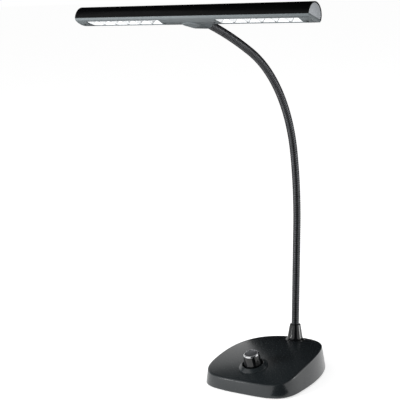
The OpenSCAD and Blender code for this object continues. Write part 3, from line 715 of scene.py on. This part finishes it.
def close_group(tree, geometry, material_socket):
    """Ends a tree: instances made real, and the finish set."""
    real = add(tree, "GeometryNodeRealizeInstances", {"Geometry": geometry})
    painted = add(tree, "GeometryNodeSetMaterial", {"Geometry": real, "Material": material_socket})
    add(tree, "NodeGroupOutput", {"Geometry": painted})


def grow(piece, tree, values):
    """Runs a tree on a piece with its named sizes, and keeps the plain mesh."""
    step = piece.modifiers.new(tree.name, "NODES")
    step.node_group = tree
    for item in tree.interface.items_tree:
        if item.in_out == "INPUT" and item.name in values:
            step[item.identifier] = values[item.name]
    return settle(piece)


def coil_tree():
    """A tube on a path, grooved into turns of flat wire that wind along it like a screw."""
    tree, given = node_group("wound_coil", [
        ("Neck radius", "Float"), ("Groove depth", "Float"), ("Pitch", "Float"),
        ("Rings", "Int"), ("Sides", "Int"), ("Finish", "Material")])
    path = add(tree, "GeometryNodeMeshToCurve", {"Mesh": given.outputs["Geometry"]})
    path = add(tree, "GeometryNodeResampleCurve", {"Curve": path, "Count": given.outputs["Rings"]})
    path = add(tree, "GeometryNodeSetCurveNormal", {"Curve": path}, mode="FREE")
    path.inputs["Normal"].default_value = (1, 0, 0)
    kept = add(tree, "GeometryNodeCaptureAttribute", {"Geometry": path}, domain="POINT")
    kept.capture_items.new("VECTOR", "Centre")
    tree.links.new(add(tree, "GeometryNodeInputPosition").outputs[0], kept.inputs["Centre"])
    circle = add(tree, "GeometryNodeCurvePrimitiveCircle", {
        "Resolution": given.outputs["Sides"], "Radius": given.outputs["Neck radius"]})
    rim = add(tree, "GeometryNodeCaptureAttribute", {"Geometry": circle}, domain="POINT")
    rim.capture_items.new("FLOAT", "Turn")
    share = add(tree, "GeometryNodeSplineParameter").outputs["Factor"]
    tree.links.new(share, rim.inputs["Turn"])
    tube = add(tree, "GeometryNodeCurveToMesh", {
        "Curve": kept, "Profile Curve": rim, "Fill Caps": True})
    along = add(tree, "GeometryNodeInputNamedAttribute", {"Name": "along"}, data_type="FLOAT")
    turns = add(tree, "ShaderNodeMath", {
        0: along.outputs["Attribute"], 1: given.outputs["Pitch"]}, operation="DIVIDE")
    phase = add(tree, "ShaderNodeMath", {0: turns, 1: rim.outputs["Turn"]}, operation="SUBTRACT")
    phase = add(tree, "ShaderNodeMath", {0: phase}, operation="FRACT")
    # each turn is a flattened wire: from a groove over a broad crest to the next groove
    side = add(tree, "ShaderNodeMath", {0: phase, 1: 2, 2: -1}, operation="MULTIPLY_ADD")
    side = add(tree, "ShaderNodeMath", {0: side, 1: side}, operation="MULTIPLY")
    side = add(tree, "ShaderNodeMath", {0: side, 1: WIRE_FLATNESS}, operation="POWER")
    rise = add(tree, "ShaderNodeMath", {0: 1, 1: side}, operation="SUBTRACT")
    rise = add(tree, "ShaderNodeMath", {0: rise}, operation="SQRT")
    fall = add(tree, "ShaderNodeMath", {0: 1, 1: rise}, operation="SUBTRACT")
    fall = add(tree, "ShaderNodeMath", {
        0: fall, 1: given.outputs["Groove depth"]}, operation="MULTIPLY")
    radius = add(tree, "ShaderNodeMath", {
        0: given.outputs["Neck radius"], 1: fall}, operation="SUBTRACT")
    place = add(tree, "GeometryNodeInputPosition")
    outward = add(tree, "ShaderNodeVectorMath", {
        0: place, 1: kept.outputs["Centre"]}, operation="SUBTRACT")
    outward = add(tree, "ShaderNodeVectorMath", {0: outward}, operation="NORMALIZE")
    outward = add(tree, "ShaderNodeVectorMath", {0: outward, "Scale": radius}, operation="SCALE")
    swollen = add(tree, "ShaderNodeVectorMath", {
        0: kept.outputs["Centre"], 1: outward}, operation="ADD")
    coil = add(tree, "GeometryNodeSetPosition", {"Geometry": tube, "Position": swollen})
    close_group(tree, coil, given.outputs["Finish"])
    return tree


def wound_length(name, start, end, tree, material):
    """A length of coil between two places along the neck, in mm from its foot."""
    steps = round(end - start)
    places = [start + (end - start) * i / steps for i in range(steps + 1)]
    mesh = bpy.data.meshes.new(name)
    mesh.from_pydata([[c * MM for c in neck_point(s)] for s in places],
                     [(i, i + 1) for i in range(steps)], [])
    along = mesh.attributes.new("along", "FLOAT", "POINT")
    along.data.foreach_set("value", [s * MM for s in places])
    coil = grow(link(name, mesh), tree, {
        "Neck radius": NECK_RADIUS * MM, "Groove depth": RIB_DEPTH * MM, "Pitch": RIB_PITCH * MM,
        "Rings": round((end - start) / RIB_PITCH * RINGS_PER_TURN), "Sides": COIL_SIDES,
        "Finish": material})
    return shaded(coil, material, crease=75)


def make_neck(material):
    """The gooseneck: ten lengths of coil, each round a joint, and two that meet at the last joint,
    one carried by the last neck piece and one by the head.
    """
    tree = coil_tree()
    joints = [FLEX_FIRST + k * FLEX_PITCH for k in range(FLEX_COUNT)]
    ends = [COIL_START] + [s + FLEX_PITCH / 2 for s in joints[:-1]]
    bodies = ["base"] + ["neck_piece_%02d" % i for i in range(2, FLEX_COUNT + 1)] + ["head"]
    for k, joint in enumerate(joints[:-1]):
        coil = wound_length("neck_coil_%02d" % (k + 1), ends[k], ends[k + 1], tree, material)
        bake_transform(coil)
        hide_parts("neck_%02d" % (k + 1))
    # the last joint is a narrow slit, with a smooth sleeve under the turns that closes it
    y, z, lean = neck_state(joints[-1])
    sleeve_radius, sleeve_half, slit_half = NECK_RADIUS - RIB_DEPTH + 0.05, 1.6, 0.45
    sleeve = rod("neck_inner_sleeve", sleeve_radius, -sleeve_half, sleeve_half,
                 moved(0, y, z) @ Matrix.Rotation(math.radians(lean), 4, "X"), material, 64)
    lower = wound_length("neck_coil_11", ends[-1], joints[-1] - slit_half, tree, material)
    upper = wound_length("neck_coil_12", joints[-1] + slit_half, NECK_LENGTH, tree, material)
    for piece, body, node in ((sleeve, bodies[-2], "neck_11"), (lower, bodies[-2], "neck_11"),
                              (upper, bodies[-1], "neck_12")):
        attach(piece, body)
        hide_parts(node)


def row_tree():
    """Copies of one shape at even steps along a line."""
    tree, given = node_group("even_row", [
        ("Count", "Int"), ("First", "Vector"), ("Step", "Vector"), ("Finish", "Material")])
    line = add(tree, "GeometryNodeMeshLine", {
        "Count": given.outputs["Count"], "Start Location": given.outputs["First"],
        "Offset": given.outputs["Step"]}, mode="OFFSET")
    copies = add(tree, "GeometryNodeInstanceOnPoints", {
        "Points": line, "Instance": given.outputs["Geometry"]})
    close_group(tree, copies, given.outputs["Finish"])
    return tree


# ---- head ----
def arc(centre_w, radius, start, end, steps):
    """Points of an arc in the bar's section; angles in degrees from the rear, upwards."""
    return [(radius * math.cos(math.radians(start + (end - start) * i / steps)),
             centre_w + radius * math.sin(math.radians(start + (end - start) * i / steps)))
            for i in range(steps + 1)]


def make_cover(material):
    low = math.degrees(math.asin(DOME_CENTRE / DOME_RADIUS))
    inner_low = math.degrees(math.asin(DOME_CENTRE / INNER_DOME))
    steps = 72
    outline = (arc(DOME_CENTRE, DOME_RADIUS, -low, 180 + low, steps)
               + arc(DOME_CENTRE, INNER_DOME, 180 + inner_low, -inner_low, steps))
    cover = along_bar("bar_cover", outline, HEAD_LENGTH, material)
    ease_edges(cover, 0.3)
    shaded(cover, material)
    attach(cover, "head")
    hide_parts("head_cover")


def block(name, low, high, material, edge):
    """A box in the bar's own frame, with upright corners rounded."""
    outline = rounded([(low[0], low[1]), (high[0], low[1]), (high[0], high[1]),
                       (low[0], high[1])], edge)
    points, faces = ringed([[(x, u, w) for x, u in outline] for w in (low[2], high[2])])
    piece = shape(name, points, faces, material)
    piece.data.transform(AT_HEAD)
    return piece


def belly_arc(radius, half):
    """The belly's arc in the bar's section from the front to the rear."""
    return [(u, BELLY_RADIUS - TRAY_DEPTH - math.sqrt(radius**2 - u * u))
            for u in [-half + 2 * half * i / BELLY_STEPS for i in range(BELLY_STEPS + 1)]]


def make_tray(material):
    outer = rounded([(-EDGE_HALF, 0)] + belly_arc(BELLY_RADIUS, FLAT_HALF) + [(EDGE_HALF, 0)],
                    [0.2, 0.5] + [0] * (BELLY_STEPS - 1) + [0.5, 0.2])
    tray = along_bar("bar_tray", outer, HEAD_LENGTH, material)
    rim, foot = INNER_HALF - 0.1, FLAT_HALF - TRAY_WALL
    hollow_outline = ([(-rim, 1), (-rim, 0)] + belly_arc(BELLY_RADIUS - TRAY_WALL, foot)
                      + [(rim, 0), (rim, 1)])
    hollow = along_bar("hollow", hollow_outline, HEAD_LENGTH - 4, material)
    half_length, half_width = WINDOW_LENGTH / 2, WINDOW_WIDTH / 2
    windows = []
    for side in (-1, 1):
        middle = side * (WINDOW_START + half_length)
        low = (middle - half_length, -WINDOW_SHIFT - half_width, -2 * TRAY_DEPTH)
        high = (middle + half_length, -WINDOW_SHIFT + half_width, 0)
        windows.append(block("window", low, high, material, edge=0.8))
    holes = [rod("hole", SCREW_HOLE_RADIUS, -TRAY_DEPTH - 1, -TRAY_DEPTH + SCREW_HOLE_DEPTH,
                 AT_HEAD @ moved(x, 0, 0), material, 40) for x in TRAY_SCREW_X]
    cut(tray, hollow, *windows, *holes)
    ease_edges(tray, 0.22, angle=40, segments=2)
    shaded(tray, material)
    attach(tray, "head")
    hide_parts("head_tray")


def make_end_caps(material):
    inner, steps = INNER_DOME - 0.1, 60
    low = math.degrees(math.asin((DOME_CENTRE - CAP_RISE) / inner))
    outline = rounded(arc(DOME_CENTRE, inner, -low, 180 + low, steps),
                      [0.5] + [0] * (steps - 1) + [0.5])
    for side, name in ((-1, "left"), (1, "right")):
        cap = along_bar("end_plate_" + name, outline, CAP_THICKNESS, material)
        middle = side * (HEAD_LENGTH / 2 - CAP_INSET - CAP_THICKNESS / 2)
        cap.data.transform(Matrix.Translation((middle * MM, 0, 0)))
        ease_edges(cap, 0.5)
        shaded(cap, material)
        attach(cap, "head")
        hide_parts("end_cap_" + name)


def make_reflectors(mirror, phosphor):
    """A row of tapered cells behind each window, with a light at the end of each cell."""
    tree = row_tree()
    wall, skirt, bowl_steps, bowl_power = 1.2, 1.5, 6, 1.6
    mouth_x, mouth_u = CELL_PITCH - wall, WINDOW_WIDTH - 2 * wall
    throat_x, throat_u = 5.4, 4.8
    width = 2 * (WINDOW_WIDTH / 2 + wall)

    def rectangle(x, u, w, corner):
        return [(a, b, w) for a, b in rounded([(-x / 2, -u / 2), (x / 2, -u / 2), (x / 2, u / 2),
                                               (-x / 2, u / 2)], corner, steps=4)]

    inside = []
    for i in range(bowl_steps + 1):
        # the cell's walls curve in like a bowl, as a pressed reflector's do
        t = i / bowl_steps
        bowl = 1 - (1 - t) ** bowl_power
        inside.append(rectangle(mouth_x + (throat_x - mouth_x) * bowl,
                                mouth_u + (throat_u - mouth_u) * bowl, CELL_DEPTH * t, 1.5))
    back = rectangle(CELL_PITCH, width, CELL_DEPTH, 0.01)
    rim = rectangle(CELL_PITCH, width, skirt, 0.01)
    front = rectangle(mouth_x + 0.4, mouth_u + 0.4, 0, 1.6)
    points, faces = ringed([back, rim, front] + inside, closed=True)
    points[:, 2] += REFLECTOR_BOTTOM
    for side, name in ((-1, "left"), (1, "right")):
        cells = shape("reflector_cells_" + name, points, faces, mirror, crease=30)
        first = side * WINDOW_START + side * CELL_PITCH / 2
        row = {"Count": CELL_COUNT, "First": (first * MM, -WINDOW_SHIFT * MM, 0),
               "Step": (side * CELL_PITCH * MM, 0, 0)}
        grow(cells, tree, {**row, "Finish": mirror})
        cells.data.transform(AT_HEAD)
        shaded(cells, mirror, crease=30)
        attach(cells, "head")
        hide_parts("reflector_" + name)

        rise = REFLECTOR_BOTTOM + CELL_DEPTH
        light_points, light_faces = ringed([
            rectangle(x, u, rise - depth, 0.3)
            for x, u, depth in ((3.4, 2.8, 0), (3.4, 2.8, 0.45), (3.1, 2.5, 0.6), (2.6, 2.0, 0.7))])
        lights = shape("light_row_" + name, light_points, light_faces, phosphor, crease=30)
        grow(lights, tree, {**row, "Finish": phosphor})
        lights.data.transform(AT_HEAD)
        shaded(lights, phosphor, crease=30)
        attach(lights, "head")
        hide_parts("leds_" + name)


def make_tray_screws(material):
    outline = rounded([(0, 8), (1.2, 8), (1.2, 1.4), (2, 1.4), (2, 0.5), (1.5, 0), (0.9, 0),
                       (0.7, 0.5), (0, 0.5)], [0, 0, 0, 0.1, 0.4, 0.2, 0.05, 0.05, 0])
    countersink = 0.4
    points, faces = turned([(r, z + countersink - TRAY_DEPTH) for r, z in outline], 48)
    tree = row_tree()
    for name, first, last in (("tray_screws_outer", TRAY_SCREW_X[0], TRAY_SCREW_X[3]),
                              ("tray_screws_inner", TRAY_SCREW_X[1], TRAY_SCREW_X[2])):
        row = shape(name, points, faces, material)
        grow(row, tree, {"Count": 2, "First": (first * MM, 0, 0),
                         "Step": ((last - first) * MM, 0, 0), "Finish": material})
        row.data.transform(AT_HEAD)
        shaded(row, material)
        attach(row, "head")
        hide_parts("tray_screws")


def make_hub(material):
    """A fairing that wraps the bar's rear lower edge and holds the end of the neck."""
    clearance, wall, lip, sides = 0.15, 0.7, 0.35, 96
    mouth = NECK_RADIUS + clearance + wall
    waist, waist_height, waist_reaches = 9.5, 2, (11, 12)
    pad, pad_shift, pad_bevel, pad_rim = 8, 4, 0.6, 0.4
    points = []
    for j in range(sides):
        t = 2 * math.pi * j / sides
        c, s = math.cos(t), math.sin(t)
        for reach, radius in ((HUB_REACH, mouth - lip), (HUB_REACH - lip, mouth)):
            points.append((radius * c, reach, HUB_AXIS + radius * s))
        for reach in waist_reaches:
            points.append((waist * c, reach, waist_height + waist * s))
        points.append((HUB_HALF_WIDTH * c, pad_shift + pad * s, -TRAY_DEPTH - pad_rim))
        points.append(((HUB_HALF_WIDTH - pad_bevel) * c, pad_shift + (pad - pad_bevel) * s,
                       -TRAY_DEPTH - HUB_DROP))
    bm = bmesh.new()
    for p in points:
        bm.verts.new([c * MM for c in p])
    hull = bmesh.ops.convex_hull(bm, input=bm.verts)
    bmesh.ops.delete(bm, geom=hull["geom_interior"], context="VERTS")
    mesh = bpy.data.meshes.new("neck_hub")
    bm.to_mesh(mesh)
    bm.free()
    hub = link("neck_hub", mesh)
    step = hub.modifiers.new("even", "REMESH")
    step.mode, step.voxel_size, step.adaptivity = "VOXEL", 0.55 * MM, 0
    step = hub.modifiers.new("flow", "SMOOTH")
    step.factor, step.iterations = 0.5, 10
    settle(hub)
    hub.data.transform(AT_HEAD)
    low = math.degrees(math.asin(DOME_CENTRE / DOME_RADIUS))
    fit, spread, bar_length = 0.05, 1.004, 60
    bar_outline = (arc(DOME_CENTRE, DOME_RADIUS + fit, -low, 180 + low, sides)
                   + [(u * spread, w - fit) for u, w in belly_arc(BELLY_RADIUS, FLAT_HALF)])
    bar = along_bar("bar_space", rounded(bar_outline, 0), bar_length, material)
    socket_place = (AT_HEAD @ moved(0, HUB_REACH - SOCKET_DEPTH, HUB_AXIS)
                    @ Matrix.Rotation(-math.pi / 2, 4, "X"))
    bore, flare, past_mouth = NECK_RADIUS + clearance, 5.6, 12
    socket = spun("socket", rounded([(0, 0), (bore, 0), (bore, SOCKET_DEPTH - 0.4),
                                     (flare, SOCKET_DEPTH + fit), (flare, past_mouth),
                                     (0, past_mouth)], 0), socket_place, material, sides=64)
    cable = rod("cable", 2.5, -HUB_REACH, 2, socket_place, material, 40)
    cut(hub, bar, socket, cable)
    shaded(hub, material, crease=50)
    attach(hub, "head")
    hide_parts("head_hub")


def dress(node, material):
    """Gives a CAD solid that the scene keeps as it is its finish."""
    piece = NODES[node]
    piece.data.materials.clear()
    piece.data.materials.append(material)


set_camera()
pale_surround()
pale_floor()
# black cards round the lamp: two stand behind it, one stands past the camera, one hangs
# over both, and two lie on the floor
upright_card("low_flag", ahead=0.3, left=-0.018, right=1.2, low=0.0, high=0.5)
upright_card("high_flag", ahead=0.3, left=-1.4, right=1.2, low=0.3, high=1.3)
upright_card("near_flag", ahead=-2.2, left=-0.7, right=1.1, low=0.0, high=1.3)
level_card("ceiling_flag", 1.3, [(0.3, -0.85), (0.3, 1.2), (-2.2, 1.2), (-2.2, -0.7)])
level_card("rear_floor_flag", 0.001, [(0.35, -1.2), (0.35, 0.6), (2.5, 0.6), (2.5, -1.2)])
level_card("floor_flag", 0.001, [(-0.1, -0.02), (-0.1, 0.03), (-2.2, 1.1), (-2.2, -0.7)])
# the two large lamps light the paint but would mirror in the cover, so gloss leaves them out
for lamp in (soft_light("left_softbox", place=(-1.3, -1.9, 0.6), target=(0, 0, 0.2),
                        width=1.2, height=0.8, strength=75),
             soft_light("right_softbox", place=(1.9, 0.6, 0.5), target=(0, 0, 0.2),
                        width=0.9, height=0.8, strength=17)):
    lamp.visible_glossy = False
soft_light("left_strip", place=(-0.9, -1.25, 0.16), target=(0, 0, 0.16),
           width=0.16, height=0.3, strength=3.6)
soft_light("right_strip", place=(1.0, 0.6, 0.1), target=(0, 0, 0.06),
           width=0.3, height=0.2, strength=2.2)

SILVER_GREY = silver_grey_paint()
make_housing(HOUSING_BLACK)
make_collar(HOUSING_BLACK)
make_knob(GLOSS_BLACK, spun_disc(), BRIGHT_ALUMINIUM)
make_boot(GLOSS_BLACK)
make_neck(COIL_NICKEL)
make_cover(satin_black_cover())
make_tray(SILVER_GREY)
make_end_caps(CAP_GREY)
make_reflectors(REFLECTOR, LED)
make_tray_screws(SCREW_STEEL)
make_hub(SILVER_GREY)

dress("base_plate", PAINTED_STEEL)
dress("base_weight", CAST_IRON)
dress("base_screws", ZINC)
dress("rubber_mat", RUBBER)
dress("power_socket", SOCKET_NYLON)
dress("driver_board", GREEN_BOARD)
for node in ("control_body", "control_nut", "control_shaft", "neck_stem", "stem_nut"):
    dress(node, ZINC)
for node in ("light_board_left", "light_board_right"):
    dress(node, WHITE_BOARD)
